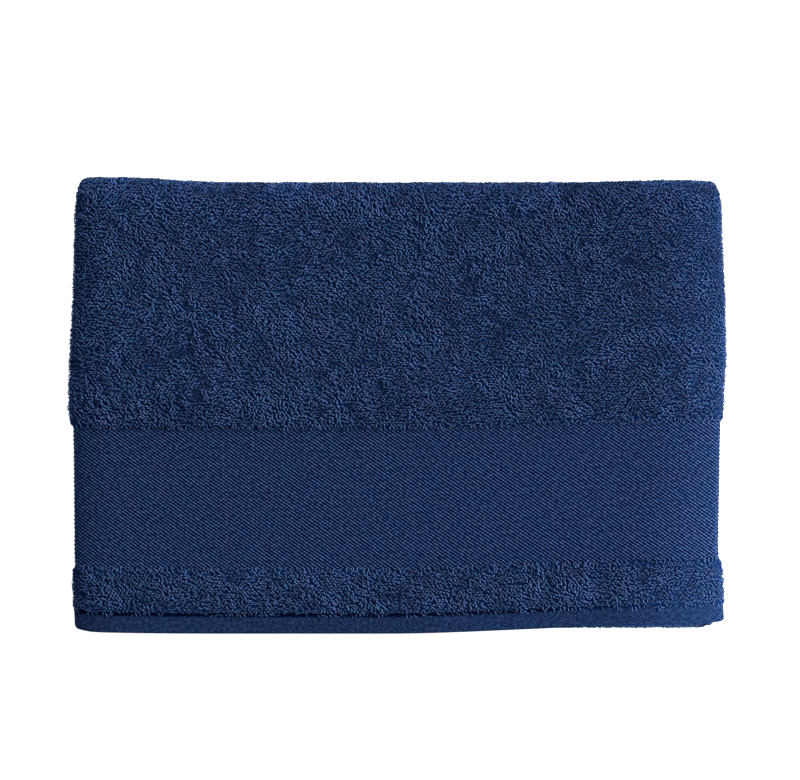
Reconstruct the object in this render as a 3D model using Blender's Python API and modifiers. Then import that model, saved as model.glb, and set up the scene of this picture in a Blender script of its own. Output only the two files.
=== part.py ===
"""Terry hand towel, folded for the shelf and lying on its back, its woven border in front.

The towel is one woven sheet. Both long sides are folded in behind to meet at the middle, the
strip this makes is doubled so that hem lies on hem, and the doubled strip is folded in three.
X runs across the towel, +Y from the hems to the top fold, +Z up out of the front face.
"""

import math

import bmesh
import bpy
import numpy as np

MM = 0.001

# The towel spread flat, and the depth of the folded pack from hem to top fold
TOWEL_WIDTH = 500 * MM
TOWEL_LENGTH = 1000 * MM
FOLDED_DEPTH = 175.0 * MM

# The cloth, from either short end inwards. Pile fills what lies between the two ends
PILE_THICKNESS = 3.0 * MM
END_ZONES = (
    # name, length along the towel, thickness of the cloth, rows of faces
    ("hem", 7 * MM, 2.2 * MM, 1),
    ("pile strip", 17.5 * MM, 3.0 * MM, 3),
    ("woven border", 55.5 * MM, 1.2 * MM, 5),
)
ZONE_STEP = 0.9 * MM  # length over which the cloth goes from one thickness to the next

# Layers. A strip is the full-width panel in front with the two side flaps behind it
LAYER_GAP = 0.5 * MM
STRIP_THICKNESS = 2 * PILE_THICKNESS + LAYER_GAP
STRIP_PITCH = STRIP_THICKNESS + LAYER_GAP
STRIPS_HIGH = 6
PACK_HEIGHT = STRIPS_HIGH * STRIP_PITCH - LAYER_GAP
FLAP_PARTING = 2 * MM  # between the two long edges, where they meet behind the panel
FOLD_RADIUS = (PILE_THICKNESS + LAYER_GAP) / 2  # of the middle of the cloth in a side fold
PANEL_HALF_WIDTH = (TOWEL_WIDTH + FLAP_PARTING - 2 * math.pi * FOLD_RADIUS) / 4

# Lengthwise folds: radius of the strip's middle
TOP_INNER_RADIUS = 3.9 * MM
TOP_OUTER_RADIUS = TOP_INNER_RADIUS + STRIP_PITCH
TOP_FACE = (STRIPS_HIGH - 1) * STRIP_PITCH - 2 * TOP_OUTER_RADIUS
TIGHT_RADIUS = STRIP_PITCH / 2
WIDE_RADIUS = 3 * STRIP_PITCH / 2
HEM_OVERHANG = 0.7 * MM  # front hem, past the fold that lies under it
HEM_STAGGER = 4.5 * MM  # second hem, short of the first
TOP_SLACK = 1.3 * MM  # by which the inner fold at the top lies back from the outer one

# How the pressed pack has settled
SIDE_ROLLS = (
    # side, width over which the pack rolls off, share of its height lost at the very edge
    (-1, 15 * MM, 0.14),
    (+1, 27 * MM, 0.34),
)
OUTLINE = (
    # distance from the front hem's edge, how far out the -X side stands, and the +X side
    (0 * MM, 0.0 * MM, 1.5 * MM),
    (7 * MM, 0.2 * MM, 1.0 * MM),
    (14 * MM, 0.0 * MM, 0.5 * MM),
    (30 * MM, 1.1 * MM, -0.1 * MM),
    (55 * MM, 1.3 * MM, 0.2 * MM),
    (78 * MM, 1.5 * MM, 0.5 * MM),
    (92 * MM, 1.6 * MM, 0.4 * MM),
    (104 * MM, 1.4 * MM, 1.2 * MM),
    (130 * MM, 0.0 * MM, 0.8 * MM),
    (152 * MM, -0.6 * MM, -0.3 * MM),
    (173 * MM, -1.0 * MM, -0.8 * MM),
)
LOWER_SIDES_IN = 2.4 * MM  # lower strips, short of the front one at each side
BORDER_SINK = 2.4 * MM
END_DROOP = 5.6 * MM
DROOP_LENGTH = 19 * MM
CORNER_DROOP = 0.5  # at both ends of the hems, as a share of their middle's
LINES_CLIMB_RIGHT = 3.9 * MM  # the front strip's cross lines, against their middle
LINES_CLIMB_LEFT = 0.9 * MM
CORNER_LIFTS = (2.0 * MM, 0.9 * MM)  # of the top fold on the -X and +X side, beyond its middle
HEM_CORNERS = (1.8 * MM, 0.9 * MM)  # rounding of the front hem's corners on the -X and +X side
CORNER_DIP = 4.4 * MM  # of the front corner on the +X side
DIP_LENGTH = 60 * MM

# How finely the sheet is divided
PANEL_SHARES = (0.24, 0.46, 0.66, 0.82, 0.91, 0.965)  # of the panel's half width
FLAP_SHARES = (0.46, 0.66, 0.82, 0.91)
SIDE_FOLD_STEPS = 5
TURN_STEP = math.radians(24)
RUN_STEP = 36 * MM

TERRY_BLUE = (0.014, 0.032, 0.098, 1.0)
TERRY_ROUGHNESS = 0.95


def legs():
    """The strip's way from the front hem to the other: rows of straight run, turn, radius.

    A positive turn goes down and under, the way that keeps the panel outside.
    """
    top_centre = (FOLDED_DEPTH - STRIP_THICKNESS) / 2 - TOP_OUTER_RADIUS
    bottom_centre = (STRIP_THICKNESS - FOLDED_DEPTH) / 2 + HEM_OVERHANG + WIDE_RADIUS
    front_run = top_centre + FOLDED_DEPTH / 2
    back_run = top_centre - bottom_centre
    outer = [
        (front_run, math.pi / 2, TOP_OUTER_RADIUS),
        (TOP_FACE, math.pi / 2, TOP_OUTER_RADIUS),
        (back_run, math.pi, WIDE_RADIUS),
    ]
    inner = [
        (back_run - TOP_SLACK, -math.pi / 2, TOP_INNER_RADIUS),
        (TOP_FACE, -math.pi / 2, TOP_INNER_RADIUS),
        (front_run - TOP_SLACK - HEM_STAGGER, 0.0, TIGHT_RADIUS),
    ]
    used = sum(run + abs(turn) * radius for run, turn, radius in outer + inner)
    middle_run = (TOWEL_LENGTH - used) / 2 - math.pi * TIGHT_RADIUS
    middle = [(middle_run, math.pi, TIGHT_RADIUS), (middle_run, -math.pi, TIGHT_RADIUS)]
    return outer + middle + inner


def route(stations):
    """Where the strip's middle is at each length from the front hem: y, z, normal y, normal z."""
    placed = []
    y, z, heading, done = -FOLDED_DEPTH / 2, PACK_HEIGHT - STRIP_THICKNESS / 2, 0.0, 0.0
    waiting = list(stations)
    for run, turn, radius in legs():
        leg = run + abs(turn) * radius
        bend = -math.copysign(radius, turn)  # signed radius: positive turns left

        def at(along):
            straight = min(along, run)
            angle = heading + (along - straight) / bend
            return (
                y + straight * math.cos(heading) + bend * (math.sin(angle) - math.sin(heading)),
                z + straight * math.sin(heading) - bend * (math.cos(angle) - math.cos(heading)),
                angle,
            )

        while waiting and waiting[0] <= done + leg + 1e-9:
            here_y, here_z, angle = at(min(waiting.pop(0) - done, leg))
            placed.append((here_y, here_z, -math.sin(angle), math.cos(angle)))
        y, z, heading = at(leg)
        done += leg
    return placed


def zone_edges():
    """Distance of each zone's inner edge from the nearer hem."""
    return np.cumsum([length for _, length, _, _ in END_ZONES])


def thickness_at(length):
    """Thickness of the cloth at a length from the front hem, stepping over ZONE_STEP."""
    thicknesses = [thickness for _, _, thickness, _ in END_ZONES] + [PILE_THICKNESS]
    from_hem = min(length, TOWEL_LENGTH - length)
    steps = [(edge - ZONE_STEP / 2, edge + ZONE_STEP / 2) for edge in zone_edges()]
    levels = [(before, after) for before, after in zip(thicknesses, thicknesses[1:])]
    return float(np.interp(from_hem, np.ravel(steps), np.ravel(levels)))


def length_stations():
    """Lengths from the front hem at which the sheet has a row of points."""
    from_hem = [0.0]
    for edge, (_, _, _, rows) in zip(zone_edges(), END_ZONES):
        from_hem += list(np.linspace(from_hem[-1], edge - ZONE_STEP / 2, rows + 1)[1:])
        from_hem.append(edge + ZONE_STEP / 2)
    fixed = from_hem + [TOWEL_LENGTH - length for length in from_hem]
    done = 0.0
    for run, turn, radius in legs():
        arc = abs(turn) * radius
        parts = round(abs(turn) / TURN_STEP)
        fixed += [done + run + arc * part / max(parts, 1) for part in range(parts + 1)]
        done += run + arc
    fixed.sort()
    stations = [fixed[0]]
    for station in fixed[1:]:
        start = stations[-1]
        if station - start > ZONE_STEP / 3:
            parts = math.ceil((station - start) / RUN_STEP)
            stations += [start + (station - start) * part / parts for part in range(1, parts + 1)]
    return stations


def crosswise_stations():
    """Columns from one long edge to the other: share of the panel's half width, angle.

    The angle is 0 on the panel and pi on a flap, and runs between them round a side fold.
    """
    flap = [(FLAP_PARTING / 2 / PANEL_HALF_WIDTH, math.pi)]
    flap += [(share, math.pi) for share in FLAP_SHARES]
    fold = [(1.0, math.pi * (1 - step / SIDE_FOLD_STEPS)) for step in range(SIDE_FOLD_STEPS + 1)]
    panel = [(share, 0.0) for share in reversed(PANEL_SHARES)]
    half = flap + fold + panel
    return [(-share, angle) for share, angle in half] + [(0.0, 0.0)] + half[::-1]


def folded_sheet():
    """The middle surface of the cloth: a grid moved to its folds, weighted by thickness."""
    across, lengths = crosswise_stations(), length_stations()
    grid = bmesh.new()
    bmesh.ops.create_grid(grid, x_segments=len(across) - 1, y_segments=len(lengths) - 1, size=0.5)
    mesh = bpy.data.meshes.new("hand_towel")
    grid.to_mesh(mesh)
    grid.free()
    towel = bpy.data.objects.new("hand_towel", mesh)
    weights = towel.vertex_groups.new(name="thickness")
    placed = route(lengths)
    for vertex in mesh.vertices:
        share, angle = across[round((vertex.co.x + 0.5) * (len(across) - 1))]
        row = round((vertex.co.y + 0.5) * (len(lengths) - 1))
        y, z, normal_y, normal_z = placed[row]
        thickness = thickness_at(lengths[row])
        radius = (thickness + LAYER_GAP) / 2
        outward = radius * math.cos(angle)
        x = share * PANEL_HALF_WIDTH + math.copysign(radius * math.sin(angle), share)
        vertex.co = (x, y + outward * normal_y, z + outward * normal_z)
        weights.add([vertex.index], thickness / PILE_THICKNESS, "REPLACE")
    return towel


def eased(share):
    """From 0 to 1 with level ends."""
    share = np.clip(share, 0.0, 1.0)
    return share * share * (3 - 2 * share)


def settled(points):
    """The neat pack as pressing and handling leave it.

    Height is moved first, then width, then depth. Each stays in order along its own line, so no
    layer is pushed through another.
    """
    x, y, z = points.T
    across = x / PANEL_HALF_WIDTH
    from_hem = y + FOLDED_DEPTH / 2
    upper = eased((z - (STRIPS_HIGH - 2.4) * STRIP_PITCH) / (2 * STRIP_PITCH))

    # The thin borders sink between the pile at their two sides, and the loose ends droop
    hem, strip, border = (length for _, length, _, _ in END_ZONES)
    from_middle = np.abs(from_hem - hem - strip - border / 2)
    sink = BORDER_SINK * (1 - eased((from_middle - border * 0.22) / (border * 0.45)))
    level = (1 - CORNER_DROOP) * eased((np.abs(across) - 0.3) / 0.65)
    droop = END_DROOP * (1 - level) * np.clip(1 - from_hem / DROOP_LENGTH, 0, 1.1) ** 1.6
    dip = CORNER_DIP * np.clip((across - 0.72) / 0.28, 0, 1.1) ** 1.2 * eased(1 - from_hem / DIP_LENGTH)
    z = z - upper * sink - eased(z / PACK_HEIGHT) * (droop + dip)

    # The whole pack rolls off towards both sides, as a quarter of an ellipse does
    for side, width, loss in SIDE_ROLLS:
        reach = np.clip((side * x - PANEL_HALF_WIDTH) / width + 1, 0, None)
        reach = np.minimum(reach * width / (width + STRIP_THICKNESS), 0.97)
        z = z * (1 - loss * (1 - np.sqrt(1 - reach**2)))

    # The front strip stands out past those under it, by the outline's table
    heights, left, right = np.transpose(OUTLINE)
    out = np.where(x < 0, np.interp(from_hem, heights, left), np.interp(from_hem, heights, right))
    out = out * (0.3 + 0.7 * upper) - LOWER_SIDES_IN * (1 - upper)
    x = x + across * out

    # Its cross lines bow and climb to the right, and the corners of the top fold lift
    rise = LINES_CLIMB_RIGHT * np.sin(np.clip(across, 0, 1) * math.pi / 2) ** 1.5
    rise = rise + LINES_CLIMB_LEFT * np.clip(-across, 0, None) ** 4
    rise = rise * upper * eased(1.12 - from_hem / FOLDED_DEPTH)
    square = np.clip((np.abs(across) - 0.95) / 0.077, 0, 1) ** 2
    rise = rise + np.where(x < 0, *HEM_CORNERS) * upper * square * eased(1 - from_hem / (hem + strip))
    lift = np.where(x < 0, *CORNER_LIFTS) * eased((np.abs(across) - 0.55) / 0.35)
    y = y + rise + lift * eased(from_hem / (FOLDED_DEPTH / 2) - 1)
    return np.stack([x, y, z], axis=1)


def terry_material():
    material = bpy.data.materials.new("terry")
    material.use_nodes = True
    shader = material.node_tree.nodes["Principled BSDF"]
    shader.inputs["Base Color"].default_value = TERRY_BLUE
    shader.inputs["Roughness"].default_value = TERRY_ROUGHNESS
    shader.inputs["Metallic"].default_value = 0.0
    return material


def thicken(sheet):
    """The sheet given its thickness, half to each side."""
    solidify = sheet.modifiers.new("Cloth thickness", "SOLIDIFY")
    solidify.thickness = PILE_THICKNESS
    solidify.offset = 0
    solidify.use_even_offset = True
    solidify.vertex_group = "thickness"
    bpy.context.view_layer.update()
    graph = bpy.context.evaluated_depsgraph_get()
    sheet.data = bpy.data.meshes.new_from_object(sheet.evaluated_get(graph))
    sheet.modifiers.clear()


def settle(towel):
    """The solid moved to its settled shape, then centred over the origin and stood on z = 0."""
    mesh = towel.data
    points = np.empty(len(mesh.vertices) * 3)
    mesh.vertices.foreach_get("co", points)
    points = settled(points.reshape(-1, 3))
    low, high = points.min(axis=0), points.max(axis=0)
    points -= [(low[0] + high[0]) / 2, (low[1] + high[1]) / 2, low[2]]
    mesh.vertices.foreach_set("co", points.ravel())
    mesh.shade_smooth()
    mesh.set_sharp_from_angle(angle=math.radians(40))


def main():
    for obj in list(bpy.data.objects):
        bpy.data.objects.remove(obj)
    parts = bpy.data.collections.new("Folded hand towel")
    bpy.context.scene.collection.children.link(parts)
    towel = folded_sheet()
    parts.objects.link(towel)
    thicken(towel)
    settle(towel)
    towel.data.materials.append(terry_material())


main()
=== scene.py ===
"""Looks of a folded terry hand towel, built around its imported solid.

The towel is one sheet of navy cotton. Its sections follow in the order it is made: the sheet and
its folds, the ribbed border, the hem's fine weave, the loops of pile, and then the table it is
photographed on with its light and camera. Lengths are in metres.
"""

import math

import bpy
import numpy as np
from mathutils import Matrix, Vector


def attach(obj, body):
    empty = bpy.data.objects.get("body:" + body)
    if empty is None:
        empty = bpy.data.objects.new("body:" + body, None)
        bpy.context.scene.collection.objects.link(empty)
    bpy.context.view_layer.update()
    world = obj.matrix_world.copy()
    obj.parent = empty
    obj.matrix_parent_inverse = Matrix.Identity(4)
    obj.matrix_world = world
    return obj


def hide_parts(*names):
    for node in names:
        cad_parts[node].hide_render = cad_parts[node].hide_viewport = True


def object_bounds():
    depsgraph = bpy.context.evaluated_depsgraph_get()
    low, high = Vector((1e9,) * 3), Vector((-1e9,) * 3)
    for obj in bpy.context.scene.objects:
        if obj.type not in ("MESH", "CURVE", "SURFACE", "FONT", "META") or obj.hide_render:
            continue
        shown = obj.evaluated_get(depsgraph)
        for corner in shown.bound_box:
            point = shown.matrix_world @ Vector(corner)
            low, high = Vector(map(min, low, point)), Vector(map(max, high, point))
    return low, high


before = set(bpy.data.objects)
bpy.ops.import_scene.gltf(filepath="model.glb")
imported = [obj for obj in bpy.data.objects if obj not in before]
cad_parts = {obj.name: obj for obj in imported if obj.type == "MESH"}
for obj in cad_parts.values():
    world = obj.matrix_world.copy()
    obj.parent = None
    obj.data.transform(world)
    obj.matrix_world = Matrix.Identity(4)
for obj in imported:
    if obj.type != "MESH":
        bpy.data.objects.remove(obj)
cad_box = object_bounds()


# ----------------------------------------------------------------------------------------------
# The cloth. One sheet of cotton, 500 x 1000 mm, woven in one go as hem, pile strip, flat border,
# pile, and the same again in reverse. Both long sides are folded in behind, the strip is doubled
# and the doubled strip is folded in three, as it lies on a shop's shelf.

MM = 0.001
TOWEL_WIDTH = 500 * MM
TOWEL_LENGTH = 1000 * MM
FOLDED_DEPTH = 175.0 * MM

PILE_THICKNESS = 3.0 * MM
END_ZONES = (
    # name, length along the towel, thickness of the cloth, thickness of its ground alone
    ("hem", 7 * MM, 2.2 * MM, 1.8 * MM),
    ("pile strip", 17.5 * MM, 3.0 * MM, 1.5 * MM),
    ("woven border", 55.5 * MM, 1.2 * MM, 0.8 * MM),
)
PILE_GROUND = 1.5 * MM
ZONE_STEP = 0.9 * MM
HEM, STRIP, BORDER = (zone[1] for zone in END_ZONES)
ZONE_EDGES = np.cumsum([HEM, STRIP, BORDER])
HEM_NOSE = END_ZONES[0][3] / 2  # radius of the hem's turned edge

LAYER_GAP = 0.5 * MM
STRIP_THICKNESS = 2 * PILE_THICKNESS + LAYER_GAP
STRIP_PITCH = STRIP_THICKNESS + LAYER_GAP
STRIPS_HIGH = 6
PACK_HEIGHT = STRIPS_HIGH * STRIP_PITCH - LAYER_GAP
FLAP_PARTING = 2 * MM
FOLD_RADIUS = (PILE_THICKNESS + LAYER_GAP) / 2
PANEL_HALF_WIDTH = (TOWEL_WIDTH + FLAP_PARTING - 2 * math.pi * FOLD_RADIUS) / 4

TOP_INNER_RADIUS = 3.9 * MM
TOP_OUTER_RADIUS = TOP_INNER_RADIUS + STRIP_PITCH
TOP_FACE = (STRIPS_HIGH - 1) * STRIP_PITCH - 2 * TOP_OUTER_RADIUS
TIGHT_RADIUS = STRIP_PITCH / 2
WIDE_RADIUS = 3 * STRIP_PITCH / 2
HEM_OVERHANG = 0.7 * MM
HEM_STAGGER = 4.5 * MM
TOP_SLACK = 1.3 * MM

SIDE_ROLLS = (
    # side, width over which the pack rolls off, share of its height lost at the very edge
    (-1, 15 * MM, 0.14),
    (+1, 27 * MM, 0.34),
)
OUTLINE = (
    # distance from the front hem's edge, how far out the -X side stands, and the +X side
    (0 * MM, 0.0 * MM, 1.5 * MM),
    (7 * MM, 0.2 * MM, 1.0 * MM),
    (14 * MM, 0.0 * MM, 0.5 * MM),
    (30 * MM, 1.1 * MM, -0.1 * MM),
    (55 * MM, 1.3 * MM, 0.2 * MM),
    (78 * MM, 1.5 * MM, 0.5 * MM),
    (92 * MM, 1.6 * MM, 0.4 * MM),
    (104 * MM, 1.4 * MM, 1.2 * MM),
    (130 * MM, 0.0 * MM, 0.8 * MM),
    (152 * MM, -0.6 * MM, -0.3 * MM),
    (173 * MM, -1.0 * MM, -0.8 * MM),
)
LOWER_SIDES_IN = 2.4 * MM
BORDER_SINK = 2.4 * MM
END_DROOP = 5.6 * MM
DROOP_LENGTH = 19 * MM
DROOP_POWER = 1.6
CORNER_DROOP = 0.5  # share of the droop that is left at the sides
LINES_CLIMB_RIGHT = 3.9 * MM
LINES_CLIMB_LEFT = 0.9 * MM
CORNER_LIFTS = (2.0 * MM, 0.9 * MM)  # of the top fold, left and right
HEM_CORNERS = (1.8 * MM, 0.9 * MM)  # left and right
CORNER_DIP = 4.4 * MM
DIP_LENGTH = 60 * MM
DIP_POWER = 1.2

# Stretches over which each of these grows or fades, a start and a length: UPPER in height,
# SINK_FADES from the border's middle, and the rest across, in shares of the half width
UPPER = ((STRIPS_HIGH - 2.4) * STRIP_PITCH, 2 * STRIP_PITCH)
SINK_FADES = (BORDER * 0.22, BORDER * 0.45)
DROOP_FADES = (0.3, 0.65)
DIP_GROWS = (0.72, 0.28)
CORNER_SQUARES = (0.95, 0.077)
CORNER_RISES = (0.55, 0.35)


def fold_legs():
    """The strip's way from hem to hem, a row for each straight run and the arc after it.

    A row is start y, start z, heading, length so far, run, signed radius. Each leg starts where
    the last one ends, and the two middle legs take up what is left of the towel's length: three
    outer legs, the two middle ones, and three inner legs that lead back beside the outer ones.
    """
    top_centre = (FOLDED_DEPTH - STRIP_THICKNESS) / 2 - TOP_OUTER_RADIUS
    bottom_centre = (STRIP_THICKNESS - FOLDED_DEPTH) / 2 + HEM_OVERHANG + WIDE_RADIUS
    front_run = top_centre + FOLDED_DEPTH / 2
    back_run = top_centre - bottom_centre
    outer = [
        (front_run, math.pi / 2, TOP_OUTER_RADIUS),
        (TOP_FACE, math.pi / 2, TOP_OUTER_RADIUS),
        (back_run, math.pi, WIDE_RADIUS),
    ]
    inner = [
        (back_run - TOP_SLACK, -math.pi / 2, TOP_INNER_RADIUS),
        (TOP_FACE, -math.pi / 2, TOP_INNER_RADIUS),
        (front_run - TOP_SLACK - HEM_STAGGER, 0.0, TIGHT_RADIUS),
    ]
    used = sum(run + abs(turn) * radius for run, turn, radius in outer + inner)
    middle_run = (TOWEL_LENGTH - used) / 2 - math.pi * TIGHT_RADIUS
    middle = [(middle_run, math.pi, TIGHT_RADIUS), (middle_run, -math.pi, TIGHT_RADIUS)]
    rows = []
    y, z, heading, done = -FOLDED_DEPTH / 2, PACK_HEIGHT - STRIP_THICKNESS / 2, 0.0, 0.0
    for run, turn, radius in outer + middle + inner:
        bend = -math.copysign(radius, turn)
        rows.append((y, z, heading, done, run, bend))
        after = heading - turn
        y += run * math.cos(heading) + bend * (math.sin(after) - math.sin(heading))
        z += run * math.sin(heading) - bend * (math.cos(after) - math.cos(heading))
        heading = after
        done += run + abs(turn) * radius
    return np.array(rows)


LEGS = fold_legs()
LEG_START = LEGS[:, 3]
LEG_RUN = LEGS[:, 4]


def strip_path(v):
    """y, z and heading of the strip's middle at each length: a straight run, then an arc."""
    leg = np.searchsorted(LEG_START, v, side="right") - 1
    start_y, start_z, start_heading, start, run, bend = LEGS[np.clip(leg, 0, None)].T
    along = v - start
    straight = np.minimum(along, run)
    heading = start_heading + (along - straight) / bend
    y = start_y + straight * np.cos(start_heading) + bend * (np.sin(heading) - np.sin(start_heading))
    z = start_z + straight * np.sin(start_heading) - bend * (np.cos(heading) - np.cos(start_heading))
    return y, z, heading


def zone_thickness(v, column, between):
    """Thickness at each length: the zones' own, from a column of END_ZONES, and the one between
    them, with a straight step over ZONE_STEP from each to the next.
    """
    levels = [zone[column] for zone in END_ZONES] + [between]
    steps = np.repeat(ZONE_EDGES, 2) + np.tile([-ZONE_STEP / 2, ZONE_STEP / 2], len(ZONE_EDGES))
    from_hem = np.minimum(v, TOWEL_LENGTH - v)
    return np.interp(from_hem, steps, np.repeat(levels, 2)[1:-1])


def eased(share):
    """From 0 to 1 with level ends: 3 s^2 - 2 s^3."""
    share = np.clip(share, 0.0, 1.0)
    return share * share * (3 - 2 * share)


def passed(value, stretch):
    """How much of a stretch a value has passed: below 0 before it, and above 1 past its end."""
    start, length = stretch
    return (value - start) / length


def settled(points):
    """The neat pack as pressing and handling leave it: the solid's own rule, point for point.

    Height is moved first, then width, then depth. "upper" grows from 0 to 1 over two strips'
    height, and keeps what the front shows away from the layers under it.
    """
    x, y, z = points.T
    across = x / PANEL_HALF_WIDTH
    from_hem = y + FOLDED_DEPTH / 2
    upper = eased(passed(z, UPPER))

    # The thin border sinks between the pile at its two sides. The loose ends droop, by a power
    # of how near the hem they are, less towards the sides, and the right corner dips further
    from_middle = np.abs(from_hem - HEM - STRIP - BORDER / 2)
    sink = BORDER_SINK * (1 - eased(passed(from_middle, SINK_FADES)))
    level = (1 - CORNER_DROOP) * eased(passed(np.abs(across), DROOP_FADES))
    droop = END_DROOP * (1 - level) * np.clip(1 - from_hem / DROOP_LENGTH, 0, 1.1) ** DROOP_POWER
    dip = CORNER_DIP * np.clip(passed(across, DIP_GROWS), 0, 1.1) ** DIP_POWER
    z = z - upper * sink - eased(z / PACK_HEIGHT) * (droop + dip * eased(1 - from_hem / DIP_LENGTH))

    # The whole pack rolls off towards both sides, as a quarter of an ellipse does
    for side, width, loss in SIDE_ROLLS:
        reach = np.clip((side * x - PANEL_HALF_WIDTH) / width + 1, 0, None)
        reach = np.minimum(reach * width / (width + STRIP_THICKNESS), 0.97)  # short of its upright end
        z = z * (1 - loss * (1 - np.sqrt(1 - reach**2)))

    # The front strip stands out past those under it, by the outline's table
    heights, left, right = np.transpose(OUTLINE)
    out = np.where(x < 0, np.interp(from_hem, heights, left), np.interp(from_hem, heights, right))
    out = out * (0.3 + 0.7 * upper) - LOWER_SIDES_IN * (1 - upper)
    x = x + across * out

    # Its cross lines climb towards both sides, most to the right and least at the top. The
    # hem's two corners are drawn square, and the corners of the top fold lift
    rise = LINES_CLIMB_RIGHT * np.sin(np.clip(across, 0, 1) * math.pi / 2) ** 1.5
    rise = rise + LINES_CLIMB_LEFT * np.clip(-across, 0, None) ** 4
    rise = rise * upper * eased(1.12 - from_hem / FOLDED_DEPTH)
    square = np.clip(passed(np.abs(across), CORNER_SQUARES), 0, 1) ** 2
    rise = rise + np.where(x < 0, *HEM_CORNERS) * upper * square * eased(1 - from_hem / (HEM + STRIP))
    lift = np.where(x < 0, *CORNER_LIFTS) * eased(passed(np.abs(across), CORNER_RISES))
    y = y + rise + lift * eased(from_hem / (FOLDED_DEPTH / 2) - 1)
    return np.stack([x, y, z], axis=1)


def folded(u, v, out):
    """Where points of the spread cloth go: u across from its middle, v along from the front hem,
    out from the cloth's middle towards the side that shows.

    Across, the cloth is a flat panel, then half a turn round a side fold, then a flap. That
    section is carried along the strip's path, upright to its heading.
    """
    radius = (zone_thickness(v, 2, PILE_THICKNESS) + LAYER_GAP) / 2 + out
    reach = np.abs(u)
    angle = np.clip((reach - PANEL_HALF_WIDTH) / FOLD_RADIUS, 0, math.pi)
    on_flap = np.maximum(reach - PANEL_HALF_WIDTH - math.pi * FOLD_RADIUS, 0)
    flat = np.minimum(reach, PANEL_HALF_WIDTH) - on_flap
    x = np.sign(u) * (flat + radius * np.sin(angle))
    y, z, heading = strip_path(v)
    off = radius * np.cos(angle)
    return settled(np.stack([x, y - off * np.sin(heading), z + off * np.cos(heading)], axis=1))


def solid_centre():
    """The middle of the settled solid's box, which the solid has over the origin."""
    across = np.linspace(-TOWEL_WIDTH / 2, TOWEL_WIDTH / 2, 400)
    along = np.linspace(0, TOWEL_LENGTH, 600)
    u, v = np.meshgrid(across, along)
    half = zone_thickness(v.ravel(), 2, PILE_THICKNESS) / 2
    surface = folded(u.ravel(), v.ravel(), half)
    low, high = surface.min(axis=0), surface.max(axis=0)
    box_low, box_high = (np.array(corner) for corner in cad_box)
    centre = (low + high) / 2 - (box_low + box_high) / 2
    return np.array([centre[0], centre[1], low[2] - box_low[2]])


CENTRE = solid_centre()
OFF_TABLE = 0.1 * MM


def on_towel(u, v, out):
    """folded(), moved to where the solid lies and kept off the table under it."""
    points = folded(np.ravel(u), np.ravel(v), np.ravel(out)) - CENTRE
    points[:, 2] = np.maximum(points[:, 2], OFF_TABLE)
    return points


def add_piece(name, points, faces, material, corner_uv, **values):
    """A smooth mesh object from whole arrays, with a map and values on its points. It rides on
    the towel's one body and stands, with the others, for the plain solid.
    """
    mesh = bpy.data.meshes.new(name)
    mesh.vertices.add(len(points))
    mesh.vertices.foreach_set("co", np.ravel(points).astype(np.float32))
    mesh.loops.add(faces.size)
    mesh.loops.foreach_set("vertex_index", faces.ravel().astype(np.int32))
    mesh.polygons.add(len(faces))
    mesh.polygons.foreach_set("loop_start", np.arange(0, faces.size, faces.shape[1], dtype=np.int32))
    mesh.update(calc_edges=True)
    mesh.uv_layers.new(name="cloth").data.foreach_set("uv", corner_uv.ravel().astype(np.float32))
    for value, numbers in values.items():
        mesh.attributes.new(value, "FLOAT", "POINT").data.foreach_set(
            "value", numbers.ravel().astype(np.float32)
        )
    mesh.shade_smooth()
    mesh.materials.append(material)
    piece = bpy.data.objects.new(name, mesh)
    bpy.context.scene.collection.objects.link(piece)
    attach(piece, "root")
    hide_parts("hand_towel")
    return piece


def grid_faces(rows, columns, flipped=False):
    """Quads of a grid of points, row after row, turning left seen from the side they face."""
    corner = np.arange((rows - 1) * columns).reshape(rows - 1, columns)[:, :-1]
    quads = np.stack([corner, corner + 1, corner + columns + 1, corner + columns], axis=-1)
    quads = quads.reshape(-1, 4)
    return quads[:, ::-1] if flipped else quads


def closed_grid(rows, columns):
    """Quads of two like grids, the second behind the first, with a rim between their edges."""
    behind = rows * columns
    index = np.arange(behind).reshape(rows, columns)
    rim = np.concatenate([index[0, :-1], index[:-1, -1], index[-1, :0:-1], index[:0:-1, 0]])
    after = np.roll(rim, -1)
    edge = np.stack([after, rim, rim + behind, after + behind], axis=-1)
    return np.concatenate([grid_faces(rows, columns), grid_faces(rows, columns, True) + behind, edge])


def node(material, kind, inputs=(), **settings):
    """A shader node with its settings made, and each (socket, value or output) put in."""
    made = material.node_tree.nodes.new(kind)
    for setting, value in settings.items():
        setattr(made, setting, value)
    for socket, value in inputs:
        if isinstance(value, bpy.types.NodeSocket):
            material.node_tree.links.new(value, made.inputs[socket])
        else:
            made.inputs[socket].default_value = value
    return made


def math_node(material, operation, first, second=0.0):
    """One sum on two numbers or outputs."""
    return node(material, "ShaderNodeMath", [(0, first), (1, second)], operation=operation).outputs[0]


def rgba(colour):
    """A colour with its alpha, or an output as it is."""
    return colour if isinstance(colour, bpy.types.NodeSocket) else (*colour, 1)


def colour_mix(material, share, first, second, blend_type="MIX"):
    """Two colours or outputs, mixed by a share or, as MULTIPLY, the one dyed with the other. The
    mix node has its colours at the sockets 6 and 7, and at output 2.
    """
    inputs = [(0, share), (6, rgba(first)), (7, rgba(second))]
    return node(material, "ShaderNodeMix", inputs, data_type="RGBA", blend_type=blend_type).outputs[2]


def colour_ramp(material, place, first, *others):
    """Colours blended along a ramp, each given as (place, colour)."""
    ramp = node(material, "ShaderNodeValToRGB", [(0, place)])
    stops = ramp.color_ramp.elements
    stops.remove(stops[1])
    stops[0].position, stops[0].color = first[0], rgba(first[1])
    for position, colour in others:
        stops.new(position).color = rgba(colour)
    return ramp.outputs[0]


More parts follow.
